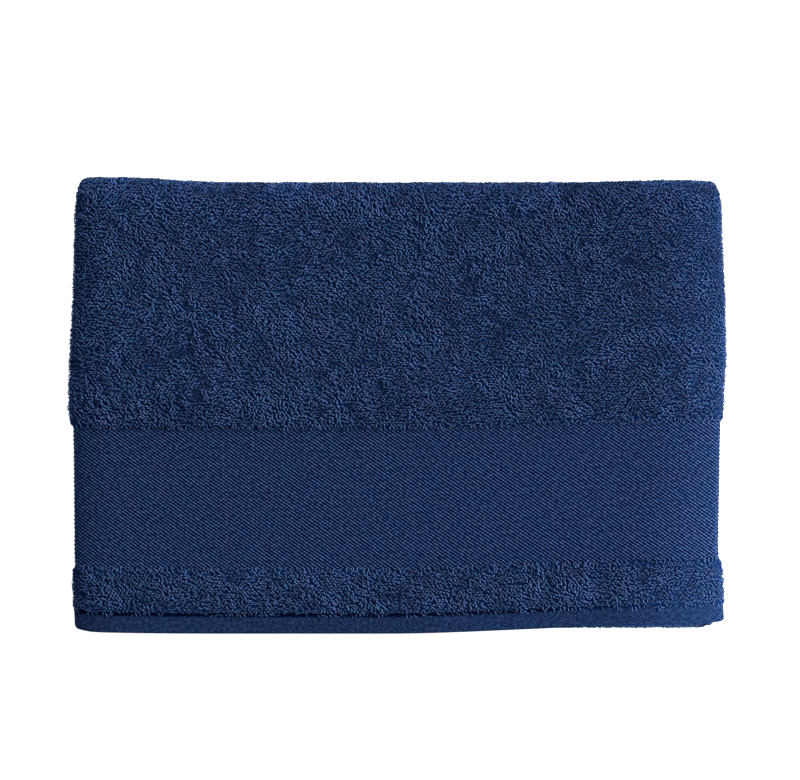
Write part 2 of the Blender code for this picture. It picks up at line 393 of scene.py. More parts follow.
def point_value(material, name):
    """A number that the mesh carries on its points."""
    return node(material, "ShaderNodeAttribute", attribute_name=name).outputs["Fac"]


def cloth_map(material):
    """The piece's own map, and its two directions alone."""
    uv = node(material, "ShaderNodeUVMap", uv_map="cloth").outputs[0]
    parts = node(material, "ShaderNodeSeparateXYZ", [(0, uv)])
    return uv, parts.outputs[0], parts.outputs[1]


def new_material(name):
    """An empty node material with its Principled shader on the output."""
    material = bpy.data.materials.new(name)
    material.use_nodes = True
    material.node_tree.nodes.clear()
    shader = node(material, "ShaderNodeBsdfPrincipled")
    node(material, "ShaderNodeOutputMaterial", [("Surface", shader.outputs[0])])
    return material, shader


def put(material, shader, **sockets):
    """Values or outputs for the shader's sockets, whose names are written with underscores."""
    for socket, value in sockets.items():
        target = shader.inputs[socket.replace("_", " ")]
        if isinstance(value, bpy.types.NodeSocket):
            material.node_tree.links.new(value, target)
        else:
            target.default_value = value


# Painted shade of the front's loops on the ground, and the ground's colour out of that shade
GROUND_SHADE = (0.003, 0.014, 0.058)
GROUND_NAVY = (0.014, 0.040, 0.120)
# Painted shadow in the groove by the hem's seam: its colour and half width, where it fades out to the right
# of the middle, and the share of it that stays
GROOVE_PAINTED_SHADOW = (0.0, 0.003, 0.014)
GROOVE_HALF_WIDTH = 1.2 * MM
GROOVE_CLOSES = (50 * MM, 105 * MM)  # from the towel's middle to the right
GROOVE_LEFT = 0.15  # share of its dark that stays where it has closed
# How far round a side fold the front's painted shade on the ground reaches, and the share of the mottle let
# through that shade in front
SIDE_SHADE = 2 * MM  # how far round a side fold the front's shade reaches
FRONT_MOTTLE = 0.25  # share of the mottle that shows between the front's loops
STRIPE_PITCH = 1.9 * MM  # along the towel's width
STRIPE_SLOPE = 1.4
HEM_STRIPES = 1.9  # times closer on a hem


def ground_material():
    """The woven ground: deep navy in the painted shade of the front's loops, and near black with a
    painted shadow in the groove by the hem's seam, which closes towards the right and takes its
    painted shadow with it. A mottle of soft spots stands for the loops behind, faint in front, and
    on hems and borders slanting stripes for their weave.
    """
    material, shader = new_material("terry_ground")
    uv, across, along = cloth_map(material)
    aside = math_node(material, "ABSOLUTE", across)
    from_hem = math_node(material, "PINGPONG", along, TOWEL_LENGTH / 2 / MM)
    in_hem = math_node(material, "LESS_THAN", from_hem, HEM / MM)
    border_middle = (HEM + STRIP + BORDER / 2) / MM
    from_border = math_node(material, "ABSOLUTE", math_node(material, "SUBTRACT", from_hem, border_middle))
    in_border = math_node(material, "LESS_THAN", from_border, BORDER / 2 / MM)
    flat = math_node(material, "ADD", in_hem, in_border)
    round_side = math_node(material, "GREATER_THAN", aside, (PANEL_HALF_WIDTH + SIDE_SHADE) / MM)
    round_top = math_node(material, "GREATER_THAN", along, LEG_START[1] / MM)
    shows = math_node(material, "MAXIMUM", math_node(material, "MAXIMUM", round_side, round_top), flat)

    slant = math_node(material, "ADD", across, math_node(material, "MULTIPLY", along, STRIPE_SLOPE))
    closer = math_node(material, "ADD", 1.0, math_node(material, "MULTIPLY", in_hem, HEM_STRIPES - 1))
    per_millimetre = math_node(material, "MULTIPLY", closer, 2 * math.pi * MM / STRIPE_PITCH)
    stripes = math_node(material, "SINE", math_node(material, "MULTIPLY", slant, per_millimetre))
    stripes = math_node(material, "ADD", 0.5, math_node(material, "MULTIPLY", stripes, 0.5))
    cells = node(material, "ShaderNodeTexVoronoi", [("Vector", uv), ("Scale", 0.95)])
    spots = math_node(material, "SUBTRACT", 1.0, cells.outputs["Distance"])
    height = node(material, "ShaderNodeMix", [("Factor", flat), ("A", spots), ("B", stripes)]).outputs[0]
    # Away from the sides, the top fold and the flat weave, the ground keeps the front's painted shade
    paleness = math_node(material, "MULTIPLY", height, math_node(material, "MAXIMUM", shows, FRONT_MOTTLE))
    colour = colour_mix(material, paleness, GROUND_SHADE, GROUND_NAVY)

    # Painted shadow, near black, in the groove by the hem's seam, fading to the right where the loops close
    # it
    from_seam = math_node(material, "ABSOLUTE", math_node(material, "SUBTRACT", from_hem, HEM / MM))
    groove_shadow = math_node(material, "LESS_THAN", from_seam, GROOVE_HALF_WIDTH / MM)
    starts, ends = (place / MM for place in GROOVE_CLOSES)
    closing = [("Value", across), ("From Min", starts), ("From Max", ends), ("To Max", GROOVE_LEFT)]
    still_open = node(material, "ShaderNodeMapRange", [*closing, ("To Min", 1.0)]).outputs[0]
    groove_shadow = math_node(material, "MULTIPLY", groove_shadow, still_open)
    colour = colour_mix(material, groove_shadow, colour, GROOVE_PAINTED_SHADOW)
    bump = node(material, "ShaderNodeBump", [("Height", height), ("Strength", 0.7), ("Distance", 0.5 * MM)])
    put(material, shader, Base_Color=colour, Roughness=0.95, Normal=bump.outputs[0])
    put(material, shader, Specular_IOR_Level=0.0)
    return material


ROW_LENGTH = 11 * MM  # of the sheet's mesh along a straight run
ROW_TURN = 0.26  # radians of an arc that one row of the mesh turns
CLOSEST_ROWS = 0.02 * MM
EDGE_SKIN = 0.02 * MM  # half of the thickness left at a hem's very edge


def ground_sheet():
    """The sheet itself: a grid over the spread cloth, folded once for each face.

    Columns stand closer near the side folds, and rows at the steps between zones and round the
    arcs. The thickness runs out in a half circle at the two hems, whose edge is a turned fold.
    """
    panel = PANEL_HALF_WIDTH * np.linspace(0, 1, 27) ** 0.8
    fold = PANEL_HALF_WIDTH + math.pi * FOLD_RADIUS * np.linspace(0, 1, 9)[1:]
    flap = np.linspace(fold[-1], TOWEL_WIDTH / 2, 6)[1:]
    half = np.concatenate([panel, fold, flap])
    across = np.concatenate([-half[:0:-1], half])

    steps = [edge + ZONE_STEP * np.array([-0.5, 0.0, 0.5]) for edge in ZONE_EDGES]
    end = np.concatenate([HEM_NOSE * np.array([0.0, 0.03, 0.13, 0.3, 0.6, 1.0]), *steps])
    along = [end, TOWEL_LENGTH - end, np.linspace(HEM_NOSE, ZONE_EDGES[-1], 16)]
    leg_ends = np.append(LEG_START[1:], TOWEL_LENGTH)
    for (_, _, _, start, run, bend), leg_end in zip(LEGS, leg_ends):
        arc = leg_end - start - run
        along.append(start + np.linspace(0, run, max(2, round(run / ROW_LENGTH))))
        along.append(start + run + np.linspace(0, arc, max(2, round(arc / abs(bend) / ROW_TURN))))
    along = np.unique(np.round(np.concatenate(along), 5))
    along = along[np.concatenate([[True], np.diff(along) > CLOSEST_ROWS])]

    v, u = np.meshgrid(along, across, indexing="ij")
    from_end = np.minimum(np.minimum(v, TOWEL_LENGTH - v), HEM_NOSE) / HEM_NOSE
    rounded = np.sqrt(1 - (1 - from_end) ** 2)
    half_thick = zone_thickness(v, 3, PILE_GROUND) / 2 * rounded + EDGE_SKIN
    points = np.concatenate([on_towel(u, v, half_thick), on_towel(u, v, -half_thick)])
    faces = closed_grid(*u.shape)
    uv = np.tile(np.stack([u.ravel(), v.ravel()], axis=-1) / MM, (2, 1))
    return add_piece("towel_cloth", points, faces, ground_material(), uv[faces.ravel()])


towel_cloth = ground_sheet()


# ----------------------------------------------------------------------------------------------
# The border. A flat band of thick slanting ribs, woven without pile in the same yarn. The ribs
# fall to the right, and each is a row of beads where warp and weft cross.

BORDER_RIB = (1.926 * MM, 1.348 * MM)  # from rib to rib, across the towel and along it
BORDER_FACE = 0.50 * MM  # the valleys' height from the cloth's middle
BORDER_RELIEF = 0.30 * MM
BORDER_TUCK = 0.7 * MM  # how far the ribs run on under the pile
RIB_WANDER = ((0.05, 2.2 * MM, 11), (0.08, 9 * MM, 12))  # in pitches, for layered_noise()
EDGE_FALL = 0.4 * MM  # over which a relief falls away at its edges
EDGE_DEPTH = 0.35 * MM
FOLD_REACH = PANEL_HALF_WIDTH + math.pi * FOLD_RADIUS + 2 * MM
FOLD_START = PANEL_HALF_WIDTH - 4 * MM


def soft_noise(u, v, size, seed):
    """Smooth noise from -1 to 1: random values on a lattice of that size, blended by eased()."""
    cells = 256
    lattice = np.random.default_rng(seed).uniform(-1, 1, (cells, cells))
    column, row = np.floor(u / size).astype(int), np.floor(v / size).astype(int)
    right, up = eased(u / size - column), eased(v / size - row)

    def value(more_column, more_row):
        return lattice[(column + more_column) % cells, (row + more_row) % cells]

    lower = value(0, 0) * (1 - right) + value(1, 0) * right
    upper = value(0, 1) * (1 - right) + value(1, 1) * right
    return lower * (1 - up) + upper * up


def layered_noise(u, v, layers, level=0.0):
    """Soft noises added to a level, each given as (height, size, seed)."""
    for height, size, seed in layers:
        level = level + height * soft_noise(u, v, size, seed)
    return level


def ribbed_face(name, along, across, rib, relief, per_rib, rows, ground, material, fall=EDGE_FALL):
    """A slanting relief on the cloth's face, between two lengths and two places across.

    Columns of points run along the ribs, so a few rows are enough: a point's u is its column
    times the step less v times the slope, and its height follows a cosine of the column, which
    wanders a little. It falls away into the cloth at its edges, over fall at its last length.
    """
    (low, high), (left, right) = along, across
    rib_across, rib_along = rib
    slope = rib_across / rib_along
    v = np.linspace(low, high, rows)
    first = math.floor((left + low * slope) / rib_across)
    last = math.ceil((right + high * slope) / rib_across)
    phase = np.arange((last - first) * per_rib + 1) / per_rib + first
    v, phase = np.meshgrid(v, phase, indexing="ij")
    u = phase * rib_across - v * slope
    height = 0.5 + 0.5 * np.cos(2 * math.pi * (phase + layered_noise(u, v, RIB_WANDER)))
    u = np.clip(u, left, right)
    aside = np.minimum(u - left, right - u) / EDGE_FALL
    from_edge = np.minimum.reduce([(v - low) / EDGE_FALL, (high - v) / fall, aside])
    tucked = np.clip(1 - from_edge, 0, 1)
    # The rib's value falls with it, so the edges take the valleys' painted shade
    height = height * (1 - tucked)
    out = ground(v) + relief * height - EDGE_DEPTH * tucked

    # Faces that the two sides cut down to a line go, and the points that only they used
    faces = grid_faces(*u.shape)
    faces = faces[np.ptp(u.ravel()[faces], axis=1) > 0.01 * MM]
    used, index = np.unique(faces, return_inverse=True)
    faces = index.reshape(faces.shape)
    points = on_towel(u, v, out)[used]
    uv = np.stack([u.ravel(), v.ravel()], axis=-1)[used] / MM
    add_piece(name, points, faces, material, uv[faces.ravel()], rib=height.ravel()[used])


GREEN_CAST = (0.86, 1.02, 1.01)
VIOLET_CAST = (1.08, 0.98, 0.99)
COTTON_SHEEN = (0.25, 0.35, 1.0)


def twill_material(name, rib, bead, deep, flank, crest):
    """Beaded ribs. The value "rib" says how far up its rib a point lies; waves that climb across
    the ribs, on the cloth's own map, cut them into beads, and noise dulls or loses some of them.
    The colour has painted shade low on the ribs and between the beads, and a painted highlight on
    the crests. The navy drifts slowly over the cloth, towards green or violet.
    """
    material, shader = new_material(name)
    uv, across, along = cloth_map(material)
    turns_across = math_node(material, "MULTIPLY", across, 2 * math.pi * MM / rib[0])
    turns_along = math_node(material, "MULTIPLY", along, 2 * math.pi * MM / rib[1])
    wobble = node(material, "ShaderNodeTexNoise", [("Vector", uv), ("Scale", 0.35), ("Detail", 2.0)])
    lag = math_node(material, "MULTIPLY", wobble.outputs[0], 5.0)
    climbing = math_node(material, "ADD", math_node(material, "SUBTRACT", turns_across, turns_along), lag)
    beads = math_node(material, "MULTIPLY", math_node(material, "COSINE", climbing), bead)
    grain = [("Vector", uv), ("Scale", 0.8), ("Detail", 3.0), ("Roughness", 0.7)]
    yarn = node(material, "ShaderNodeTexNoise", grain)
    uneven = math_node(material, "MULTIPLY", math_node(material, "SUBTRACT", yarn.outputs[0], 0.56), 1.8)
    ridge = point_value(material, "rib")
    height = math_node(material, "ADD", ridge, math_node(material, "ADD", beads, uneven))
    # Painted shade in the valleys and between the beads, and a painted highlight on the crests
    navy = colour_ramp(material, height, (0.05, deep), (0.5, flank), (1.0, crest))

    patches = node(material, "ShaderNodeTexNoise", [("Vector", uv), ("Scale", 0.13), ("Detail", 1.0)])
    spread = math_node(material, "MULTIPLY", math_node(material, "SUBTRACT", patches.outputs[0], 0.5), 3.0)
    drift = math_node(material, "ADD", spread, 0.5)
    cast = colour_mix(material, drift, GREEN_CAST, VIOLET_CAST)
    dyed = colour_mix(material, 1.0, navy, cast, "MULTIPLY")
    bump = node(material, "ShaderNodeBump", [("Height", height), ("Strength", 0.5), ("Distance", 0.2 * MM)])
    put(material, shader, Base_Color=dyed, Roughness=0.9, Normal=bump.outputs[0])
    put(material, shader, Specular_IOR_Level=0.0)
    put(material, shader, Sheen_Weight=0.03, Sheen_Roughness=0.5, Sheen_Tint=rgba(COTTON_SHEEN))
    return material


def border_ground(v):
    """The border's own face: flat."""
    return np.full_like(v, BORDER_FACE)


border_edges = np.array([HEM + STRIP - BORDER_TUCK, HEM + STRIP + BORDER + BORDER_TUCK])
whole_width = (-FOLD_REACH, FOLD_REACH)
right_fold = (FOLD_START, FOLD_REACH)
left_fold = (-FOLD_REACH, -FOLD_START)
border_twill = twill_material(
    "border_twill",
    BORDER_RIB,
    bead=0.15,
    deep=(0.0, 0.001, 0.018),
    flank=(0.009, 0.027, 0.096),
    crest=(0.057, 0.098, 0.208),
)
border_weave = {
    "rib": BORDER_RIB,
    "relief": BORDER_RELIEF,
    "per_rib": 5,
    "rows": 36,
    "ground": border_ground,
    "material": border_twill,
}
ribbed_face("border_ribs", border_edges, whole_width, **border_weave)
second_border = TOWEL_LENGTH - border_edges[::-1]
ribbed_face("border_ribs_under_right", second_border, right_fold, **border_weave)
ribbed_face("border_ribs_under_left", second_border, left_fold, **border_weave)


# ----------------------------------------------------------------------------------------------
# The hem. The cloth's end turned under twice and sewn flat; its fine weave falls steeply to the
# right, in ribs that stand about half as far apart across the towel as the border's.

HEM_RIB = (1.0 * MM, 1.27 * MM)
HEM_RELIEF = 0.16 * MM
HEM_SKIN = 0.04 * MM  # added to half the hem's thickness, so that the weave covers the ground
HEM_SEAM_FALL = 0.8 * MM  # over which the weave falls away at its seam


def hem_ground(v):
    """The hem's face: half its thickness, rounded off as a quarter circle at its turned edge,
    and the skin.
    """
    from_end = np.clip(np.minimum(v, TOWEL_LENGTH - v) / HEM_NOSE, 0, 1)
    return HEM_NOSE * np.sqrt(1 - (1 - from_end) ** 2) + HEM_SKIN


hem_twill = twill_material(
    "hem_twill",
    HEM_RIB,
    bead=0.2,
    deep=(0.0, 0.002, 0.022),
    flank=(0.007, 0.024, 0.084),
    crest=(0.042, 0.074, 0.164),
)
hem_edges = np.array([0.05 * MM, HEM + 0.3 * MM])
hem_weave = {
    "rib": HEM_RIB,
    "relief": HEM_RELIEF,
    "per_rib": 4,
    "rows": 12,
    "ground": hem_ground,
    "material": hem_twill,
}
ribbed_face("hem_weave", hem_edges, whole_width, **hem_weave, fall=HEM_SEAM_FALL)
second_hem = TOWEL_LENGTH - hem_edges[::-1]
ribbed_face("hem_weave_under_right", second_hem, right_fold, **hem_weave)
ribbed_face("hem_weave_under_left", second_hem, left_fold, **hem_weave)


# ----------------------------------------------------------------------------------------------
# The pile. Loops of soft cotton yarn, one to each 1.4 square millimetres of the front and fewer
# on the folds and the back. Each stands a little proud of the solid's face and lies over as
# handling left it, with its neighbours more or less the same way.

PILE_COLUMN = 1.43 * MM
PILE_ROW = 1.0 * MM
ROW_SHIFT = 0.57  # of a column, from each row to the next
OFF_PLACE = 0.25  # millimetres that a loop may stand off its place
YARN_RADIUS = 0.25 * MM
YARN_SIDES = 3
LOOP_FOOT = 0.45 * MM  # out from the cloth's middle, inside its ground
LOOP_TOP = 1.75 * MM
LOOP_SPAN = 1.36 * MM  # between the feet, about a column
LOOP_ROUND = 0.55  # power that makes the arch of a loop flatter than a sine
LOOP_LEAN = math.radians(-23)  # the way the loops lie on the spread cloth
LEAN_SPREAD = 0.32  # radians, from loop to loop
SPAN_SPREAD = 0.25  # share, from loop to loop
YARN_SPREAD = 0.15  # share of its thickness
TOP_SPREAD = 0.35  # millimetres that a loop may stand lower
CURL_SPREAD = 0.33  # millimetres, to one side and the other
BOW_SPREAD = 0.28  # millimetres, to one side
NOSE_RADIUS = FOLD_RADIUS + 0.7 * LOOP_TOP  # of the loops' backs round a side fold
NOSE_END = PANEL_HALF_WIDTH + math.pi * NOSE_RADIUS
PILE_OUT = 0.7 * MM  # how far the pile reaches over the border
OVER_EDGE = 0.9  # millimetres that the loops at an edge lie out over the weave, at most
OVER_HEM = 1.3  # the same over the hem
OVER_GROOVE = 0.5  # and this much more where they close its groove
EDGE_LEAN = -0.3  # radians, added to how the loops lie there
EDGE_SPREAD = 0.4
LOOPS_CLOSE = (30 * MM, 60 * MM)  # the groove: a start, right of the towel's middle, and a length

# Noises for layered_noise(): how the way the loops lie drifts, in radians, how they stand in
# clumps, with a painted highlight on the raised ones and painted shade on the low ones, and how
# the pile is paler by patches
LEAN_DRIFT = ((0.3, 30 * MM, 20), (0.5, 11 * MM, 21), (0.65, 2.4 * MM, 22))
CLUMPS = ((1.4, 3.6 * MM, 25), (0.6, 1.9 * MM, 28))
PATCHES = ((0.11, 11 * MM, 29), (0.13, 5.2 * MM, 24))
CLUMP_HEIGHT = 0.14  # millimetres
# Painted highlight on raised clumps and painted shade on low ones
CLUMP_HIGHLIGHT = 0.21
TONE_SPREAD = 0.12
POCKETS = (0.4, 0.35)  # where they start in their noise, and how soon they are at their deepest
POCKET_DEPTH = 0.45 * MM
# Painted shade that darkens the loops in a pocket
POCKET_SHADE = 0.6
TABLE_DROP = 0.35 * MM  # of the loops that touch the table
TABLE_FADES = (1.5 * MM, 3 * MM)  # height over which that fades: a start and a length
BORDER_DROP = 0.9 * MM  # of a side fold's loops beside a border
SEAM_DROP = 0.5 * MM  # of the loops along the hem's seam
# Painted shade on the loops along the hem's seam
SEAM_SHADE = 0.3
SEAM_CLOSED = 0.6  # share of the seam's drop and shade that goes where the groove is closed

# Yarn colours: painted shade low on a loop, its flank, and a painted highlight on its back
YARN_LOW_SHADE = (0.012, 0.050, 0.205)
YARN_FLANK = (0.031, 0.087, 0.250)
YARN_TIP_HIGHLIGHT = (0.050, 0.081, 0.168)
YARN_GREEN = (0.84, 1.04, 1.02)
YARN_VIOLET = (1.18, 0.96, 1.01)


def pile_material():
    """Dyed cotton yarn: painted shade makes it deep blue low on the loop, and a painted highlight
    greyed navy on its back.

    Point values say how far up its loop a point lies, how pale that loop is and whether its navy
    leans to green or violet. The yarn's ply winds round it as a fine ridge, with painted shade and
    light along it, and its fibres mottle it. The map runs round the yarn, and from foot to foot.
    """
    material, shader = new_material("pile_yarn")
    tip, tone, hue = (point_value(material, name) for name in ("tip", "tone", "hue"))
    # Painted shade deep blue low on the loop, and a painted highlight greyed on its back
    navy = colour_ramp(material, tip, (0.30, YARN_LOW_SHADE), (0.70, YARN_FLANK), (1.00, YARN_TIP_HIGHLIGHT))
    cast = colour_mix(material, hue, YARN_GREEN, YARN_VIOLET)
    dyed = colour_mix(material, 1.0, navy, cast, "MULTIPLY")

    _, around, onward = cloth_map(material)
    wound = math_node(material, "ADD", around, math_node(material, "MULTIPLY", onward, 1.5))
    ply = math_node(material, "SINE", math_node(material, "MULTIPLY", wound, 4 * math.pi))
    # Painted shade in the ply's grooves and painted light on its ridges
    ply_shading = math_node(material, "ADD", 1.0, math_node(material, "MULTIPLY", ply, 0.2))
    place = node(material, "ShaderNodeTexCoord").outputs["Object"]
    fibres = node(material, "ShaderNodeTexNoise", [("Vector", place), ("Scale", 1700.0), ("Detail", 1.0)])
    worn = math_node(material, "ADD", 0.1, math_node(material, "MULTIPLY", fibres.outputs[0], 1.8))
    shade = math_node(material, "MULTIPLY", tone, math_node(material, "MULTIPLY", worn, ply_shading))
    colour = colour_mix(material, 1.0, dyed, shade, "MULTIPLY")
    bump = node(material, "ShaderNodeBump", [("Height", ply), ("Strength", 0.35), ("Distance", 0.08 * MM)])
    put(material, shader, Base_Color=colour, Roughness=0.85, Normal=bump.outputs[0])
    put(material, shader, Specular_IOR_Level=0.0)
    put(material, shader, Sheen_Weight=0.03, Sheen_Roughness=0.5, Sheen_Tint=rgba(COTTON_SHEEN))
    return material


pile_yarn = pile_material()


def stands_in_pile(v):
    """Which lengths have pile: all but the hems and the borders, less PILE_OUT at each border."""
    from_hem = np.minimum(v, TOWEL_LENGTH - v)
    in_strip = (from_hem > HEM) & (from_hem < HEM + STRIP + PILE_OUT)
    return in_strip | (from_hem > HEM + STRIP + BORDER - PILE_OUT)


def loop_feet(along, pitch, seed, inner=0, reach=NOSE_END):
    """Where loops stand: rows between two lengths and columns across, each loop a little off its
    place. The place across is measured over the loops' backs, so that a side fold gets as many
    as the flat, and goes from inner to reach on both sides.
    """
    rng = np.random.default_rng(seed)
    low, high = along
    count = round((high - low) / pitch[1])
    rows = low + (np.arange(count) + 0.5) * (high - low) / count
    columns = np.arange(-math.floor(reach / pitch[0]), reach / pitch[0]) * pitch[0]
    v, c = np.meshgrid(rows, columns, indexing="ij")
    c = c - (np.arange(len(rows))[:, None] * ROW_SHIFT % 1 - 0.5) * pitch[0]
    c = c + rng.uniform(-OFF_PLACE, OFF_PLACE, c.shape) * MM
    v = v + rng.uniform(-OFF_PLACE, OFF_PLACE, v.shape) * MM
    c, v = c.ravel(), v.ravel()
    keep = stands_in_pile(v) & (np.abs(c) < reach) & (np.abs(c) >= inner)
    return c[keep], v[keep], rng


def yarn_tubes(path, lean, thick):
    """Rings of YARN_SIDES points round each loop's middle line. Their axes are the side of the
    upright plane that the loop stands in, and what is square to that and to the line.
    """
    tangent = np.gradient(path, axis=1)
    tangent /= np.linalg.norm(tangent, axis=-1, keepdims=True)
    plane_side = np.stack([-np.sin(lean), np.cos(lean), np.zeros(len(lean))], axis=-1)
    side = np.broadcast_to(plane_side[:, None, :], path.shape)
    side = side - (side * tangent).sum(-1, keepdims=True) * tangent
    side /= np.maximum(np.linalg.norm(side, axis=-1, keepdims=True), 1e-12)
    normal = np.cross(side, tangent)
    around = 2 * math.pi * np.arange(YARN_SIDES) / YARN_SIDES
    ring = np.cos(around)[:, None] * side[:, :, None, :] + np.sin(around)[:, None] * normal[:, :, None, :]
    return path[:, :, None, :] + thick[:, None, None, None] * ring


def tube_faces(count, bends):
    """Quads from ring to ring of that many tubes, and their corners' map: the share round the
    yarn, and the share of the way from foot to foot.
    """
    step = np.arange(bends)[:, None] * YARN_SIDES
    here = np.arange(YARN_SIDES)[None, :]
    after = (here + 1) % YARN_SIDES
    next_step = step + YARN_SIDES
    quad = np.stack([step + here, step + after, next_step + after, next_step + here], axis=-1)
    first = np.arange(count) * (bends + 1) * YARN_SIDES
    faces = first[:, None, None] + quad.reshape(1, -1, 4)

    low, high = here / YARN_SIDES, (here + 1) / YARN_SIDES
    start, end = np.arange(bends)[:, None] / bends, (np.arange(bends)[:, None] + 1) / bends
    corner = [np.broadcast_arrays(a, b) for a, b in ((low, start), (high, start), (high, end), (low, end))]
    corner = np.stack([np.stack(pair, axis=-1) for pair in corner], axis=2).reshape(1, -1, 2)
    return faces.reshape(-1, 4), np.broadcast_to(corner, (count, corner.shape[1], 2))


def pile(name, feet, bends, size=1.0, foot_shade=1.0):
    """Loops as one mesh, each of that many bends, larger by size and with painted shade at its foot.

    A loop's middle line is a low arch from foot to foot, the way the pile lies there, bowed and
    curled to its sides: a cosine onward, a power of a sine upward, and sines to the side. Yarn is
    carried along it as a tube. Neighbours stand in clumps, paled by a painted highlight, with a few
    low pockets between, darkened by painted shade.
    """
    c, v, rng = feet
    count = len(c)
    lean = layered_noise(c, v, LEAN_DRIFT, LOOP_LEAN) + rng.normal(0, LEAN_SPREAD, count)

    # At the pile's edges the outer rows stand by the step and lie out over the flat weave,
    # furthest over the hem's right half, where they close the groove beside it
    from_hem = np.minimum(v, TOWEL_LENGTH - v)
    near = [np.abs(from_hem - edge) < 0.9 * PILE_ROW for edge in ZONE_EDGES]
    over_edge = np.select(near, [-1, 1, -1], 0) * np.where(v < TOWEL_LENGTH / 2, 1, -1)
    lean = np.where(over_edge != 0, lean + EDGE_LEAN + rng.normal(0, EDGE_SPREAD, count), lean)
    closed = eased(passed(c, LOOPS_CLOSE))
    over_hem = OVER_HEM + 0.9 * soft_noise(c, 0 * v, 4 * MM, seed=30) + OVER_GROOVE * closed
    reach = np.where(np.abs(from_hem - HEM) < PILE_ROW, over_hem, OVER_EDGE) * MM
    over_edge = over_edge * rng.uniform(0.0, 1.0, count) * reach

    # A loop's top stands with its clump, and lower in a pocket, near the table, on the sides
    # beside a border, and along the hem's seam while the groove there is open. Pockets are the
    # peaks of two noises, the larger one turned by 45 degrees, where a third lets them be
    span = size * LOOP_SPAN * rng.uniform(1 - SPAN_SPREAD, 1 + SPAN_SPREAD, count)
    clump = layered_noise(c, v, CLUMPS)
    top = LOOP_TOP - YARN_RADIUS + MM * (CLUMP_HEIGHT * clump - rng.uniform(0.0, TOP_SPREAD, count))
    hollow = 0.75 * soft_noise(c + v, v - c, 3.8 * MM, seed=26) + 0.5 * soft_noise(c, v, 1.8 * MM, seed=34)
    pocket = eased(passed(hollow, POCKETS)) * eased(0.6 + 1.4 * soft_noise(c, v, 24 * MM, seed=33))
    top = top - POCKET_DEPTH * pocket
    side_place = np.sign(c) * np.minimum(np.abs(c), PANEL_HALF_WIDTH + FOLD_RADIUS)
    over_table = on_towel(side_place, v, 0 * v)[:, 2]
    top = top - TABLE_DROP * (1 - np.clip(passed(over_table, TABLE_FADES), 0, 1))
    to_weave = np.min([np.abs(from_hem - edge) for edge in ZONE_EDGES[1:]], axis=0)
    top = top - BORDER_DROP * (1 - eased(to_weave / (7 * MM))) * (np.abs(c) > PANEL_HALF_WIDTH)
    to_hem = np.abs(from_hem - HEM)
    top = top - SEAM_DROP * (1 - eased(to_hem / (5 * MM))) * (1 - SEAM_CLOSED * closed)

    curl = size * MM * rng.uniform(-CURL_SPREAD, CURL_SPREAD, count)
    bow = size * MM * rng.normal(0, BOW_SPREAD, count)
    s = np.linspace(0, 1, bends + 1)[None, :]
    arch = np.sin(math.pi * s)
    onward = -0.5 * span[:, None] * np.cos(math.pi * s)
    aside = curl[:, None] * np.sin(2 * math.pi * s) + bow[:, None] * arch
    rise = LOOP_FOOT + (top[:, None] - LOOP_FOOT) * arch**LOOP_ROUND
    across = onward * np.cos(lean)[:, None] - aside * np.sin(lean)[:, None]
    along = onward * np.sin(lean)[:, None] + aside * np.cos(lean)[:, None] + over_edge[:, None] * arch
    path = np.stack([across, along, rise], axis=-1)
    thick = YARN_RADIUS * size * rng.uniform(1 - YARN_SPREAD, 1 + YARN_SPREAD, count)
    points = yarn_tubes(path, lean, thick)

    # Places over the loops' backs are drawn in to the cloth's own round each side fold
    over = c[:, None, None] + points[..., 0]
    past = np.maximum(np.abs(over) - PANEL_HALF_WIDTH, 0)
    u = np.sign(over) * (np.minimum(np.abs(over), PANEL_HALF_WIDTH) + past * FOLD_RADIUS / NOSE_RADIUS)
    length_along = np.clip(v[:, None, None] + points[..., 1], 0, TOWEL_LENGTH)
    placed = on_towel(u, length_along, points[..., 2])

    # Paleness: random patches and spread, a painted highlight on raised clumps, and painted shade in the
    # pockets and along the hem's seam, less where the groove is closed
    pale = 1.03 + layered_noise(c, v, PATCHES) + CLUMP_HIGHLIGHT * clump
    pale = (pale + rng.uniform(-TONE_SPREAD, TONE_SPREAD, count)) * (1 - POCKET_SHADE * pocket)
    pale = pale * (1 - SEAM_SHADE * (1 - eased(to_hem / (4 * MM))) * (1 - SEAM_CLOSED * closed))
    cast = 0.5 + 0.5 * soft_noise(c, v, 3.5 * MM, seed=27) + rng.normal(0, 0.15, count)
    # Painted shade darkens each loop towards its feet, by the share given for the piece
    up_loop = (1 - foot_shade * (1 - arch**LOOP_ROUND))[:, :, None]
    tip, tone, hue = (
        np.broadcast_to(value, (count, bends + 1, YARN_SIDES))
        for value in (up_loop, pale[:, None, None], cast[:, None, None])
    )
    faces, uv = tube_faces(count, bends)
    add_piece(name, placed, faces, pile_yarn, uv, tip=tip, tone=tone, hue=hue)


# From loop to loop, across the towel and along it: on the front, on the folds, on the sides
# and on the back
FINE = (PILE_COLUMN, PILE_ROW)
TURNED = (1.6 * MM, 1.2 * MM)
ROUND = (1.45 * MM, 1.05 * MM)
COARSE = (3.0 * MM, 2.7 * MM)
border_end = HEM + STRIP + BORDER - PILE_OUT
front_end, top_end, turn_end = LEG_START[1:4]
back_end = top_end + LEG_RUN[2]
thirds = np.linspace(border_end, front_end, 4)

pile("pile_front_lower", loop_feet((thirds[0], thirds[1]), FINE, 31), bends=4)
pile("pile_front_middle", loop_feet((thirds[1], thirds[2]), FINE, 32), bends=4)
pile("pile_front_upper", loop_feet((thirds[2], thirds[3]), FINE, 33), bends=4)
pile("pile_strip", loop_feet((HEM, HEM + STRIP + PILE_OUT), FINE, 34), bends=4)
pile("pile_top_fold", loop_feet((front_end, top_end), TURNED, 35), bends=3, size=1.1, foot_shade=0.8)

